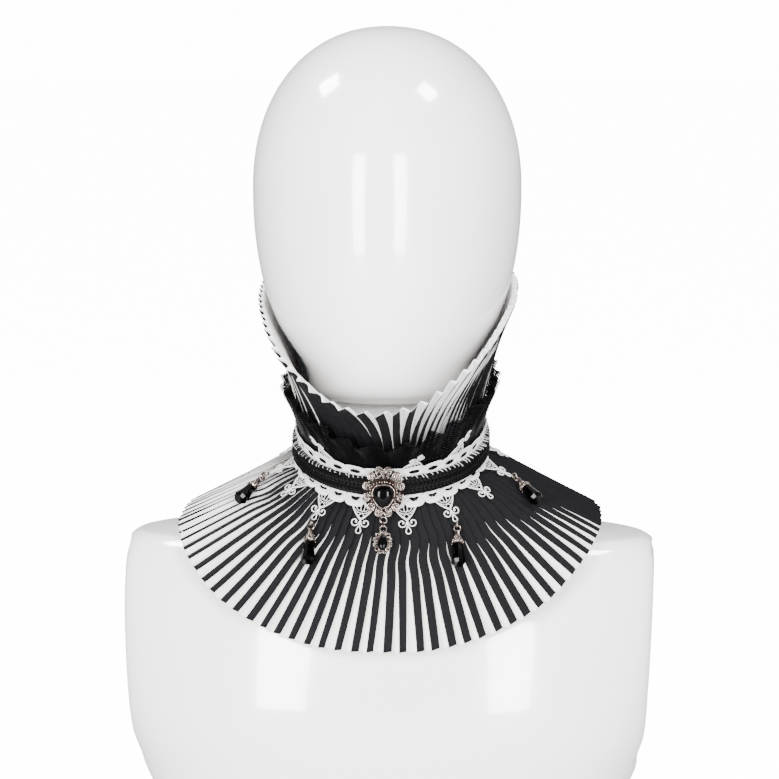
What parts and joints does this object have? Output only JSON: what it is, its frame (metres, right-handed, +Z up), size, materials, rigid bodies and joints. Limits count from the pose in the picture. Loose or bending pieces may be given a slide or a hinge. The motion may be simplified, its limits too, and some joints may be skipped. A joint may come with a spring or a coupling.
{
  "type": "stand collar on a limbless bust form",
  "caption": "Historic stand collar of pleated striped trim with net, lace, braid and a black-stone brooch, worn on a gloss white egg-head bust form.",
  "frame": {"origin": "on the form's flat base, straight under the middle of the neck", "axes": "+Z up, front of the collar towards -Y, +X to the viewer's right"},
  "size_m": [0.3096, 0.2507, 0.473],
  "materials": {
    "gloss_white": "smooth gloss white moulded shell",
    "striped_trim": "matt knife-pleated cotton trim printed in black and white bands",
    "black_net": "fine square black net",
    "white_lace": "thick embroidered guipure lace",
    "black_braid": "matt black plaited gimp",
    "old_silver": "aged silver-plated filigree",
    "black_stone": "opaque polished black glass"
  },
  "bodies": {
    "collar_on_form": {"bust_form": "gloss_white", "lower_flounce": "striped_trim", "stand_ruff": "striped_trim", "net_ruffle": "black_net", "lace_lower": "white_lace", "lace_upper": "white_lace", "neck_braid": "black_braid", "back_clasp": "old_silver", "brooch_frame": "old_silver", "brooch_stone": "black_stone"},
    "pendant": {"pendant_link": "old_silver", "pendant_frame": "old_silver", "pendant_stone": "black_stone"},
    "drop_left_front": {"drop_left_front_link_1": "old_silver", "drop_left_front_cap": "old_silver", "drop_left_front_bead": "black_stone"},
    "drop_right_front": {"drop_right_front_link_1": "old_silver", "drop_right_front_cap": "old_silver", "drop_right_front_bead": "black_stone"},
    "drop_left_side": {"drop_left_side_link_1": "old_silver", "drop_left_side_link_2": "old_silver", "drop_left_side_cap": "old_silver", "drop_left_side_bead": "black_stone"},
    "drop_right_side": {"drop_right_side_link_1": "old_silver", "drop_right_side_cap": "old_silver", "drop_right_side_bead": "black_stone"}
  },
  "joints": [
    {"name": "pendant_swing", "type": "hinge", "parent": "collar_on_form", "child": "pendant", "pos_m": [0, -0.06247, 0.19147], "axis": [-1, 0, 0], "range_deg": [0, 60]},
    {"name": "drop_left_front_swing", "type": "hinge", "parent": "collar_on_form", "child": "drop_left_front", "pos_m": [-0.04164, -0.05568, 0.19259], "axis": [-0.809, 0.5878, 0], "range_deg": [0, 60]},
    {"name": "drop_right_front_swing", "type": "hinge", "parent": "collar_on_form", "child": "drop_right_front", "pos_m": [0.04164, -0.05568, 0.19259], "axis": [-0.809, -0.5878, 0], "range_deg": [0, 60]},
    {"name": "drop_left_side_swing", "type": "hinge", "parent": "collar_on_form", "child": "drop_left_side", "pos_m": [-0.0717, -0.00903, 0.21208], "axis": [-0.1045, 0.9945, 0], "range_deg": [0, 60]},
    {"name": "drop_right_side_swing", "type": "hinge", "parent": "collar_on_form", "child": "drop_right_side", "pos_m": [0.0717, -0.00903, 0.21208], "axis": [-0.1045, -0.9945, 0], "range_deg": [0, 60]}
  ]
}
